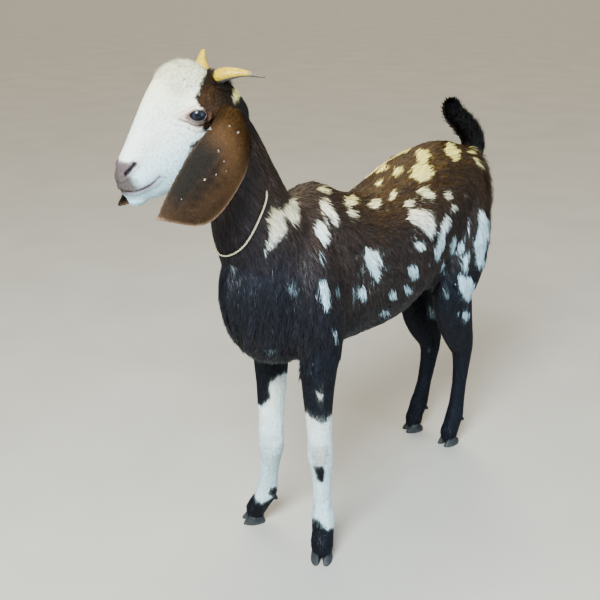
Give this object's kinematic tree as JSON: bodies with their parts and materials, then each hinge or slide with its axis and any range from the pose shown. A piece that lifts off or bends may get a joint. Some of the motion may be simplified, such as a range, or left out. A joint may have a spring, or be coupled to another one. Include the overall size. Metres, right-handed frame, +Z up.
{
  "type": "gujri goat",
  "caption": "Standing young goat with a dark spotted body, white face and forelegs, broad hanging ears, short horns and a string collar.",
  "frame": {"origin": "on the floor, at the middle of the footprint of the whole model", "axes": "+Z up, -Y the way the goat faces, +X to the goat's left"},
  "size_m": [0.2548, 1.0331, 1.0118],
  "materials": {
    "dark_coat": "short glossy hair, near-black brown with white patches",
    "white_coat": "short white hair with dark patches",
    "ear_hide": "very short brown hair, smooth",
    "horn": "amber horn with grey edge and dark tip",
    "hoof": "grey horn, worn and dusty",
    "eye": "wet, dark grey-brown",
    "string": "twisted straw-coloured string"
  },
  "bodies": {
    "root": {"torso": "dark_coat", "neck": "dark_coat", "head": "white_coat", "tail": "dark_coat", "collar": "string", "ear_left": "ear_hide", "eye_left": "eye", "horn_left": "horn", "ear_right": "ear_hide", "eye_right": "eye", "horn_right": "horn", "front_left_leg": "white_coat", "claw_front_left_left": "hoof", "dewclaw_front_left_left": "hoof", "claw_front_left_right": "hoof", "dewclaw_front_left_right": "hoof", "front_right_leg": "white_coat", "claw_front_right_left": "hoof", "dewclaw_front_right_left": "hoof", "claw_front_right_right": "hoof", "dewclaw_front_right_right": "hoof", "hind_left_leg": "dark_coat", "claw_hind_left_left": "hoof", "dewclaw_hind_left_left": "hoof", "claw_hind_left_right": "hoof", "dewclaw_hind_left_right": "hoof", "hind_right_leg": "dark_coat", "claw_hind_right_left": "hoof", "dewclaw_hind_right_left": "hoof", "claw_hind_right_right": "hoof", "dewclaw_hind_right_right": "hoof"}
  },
  "joints": []
}
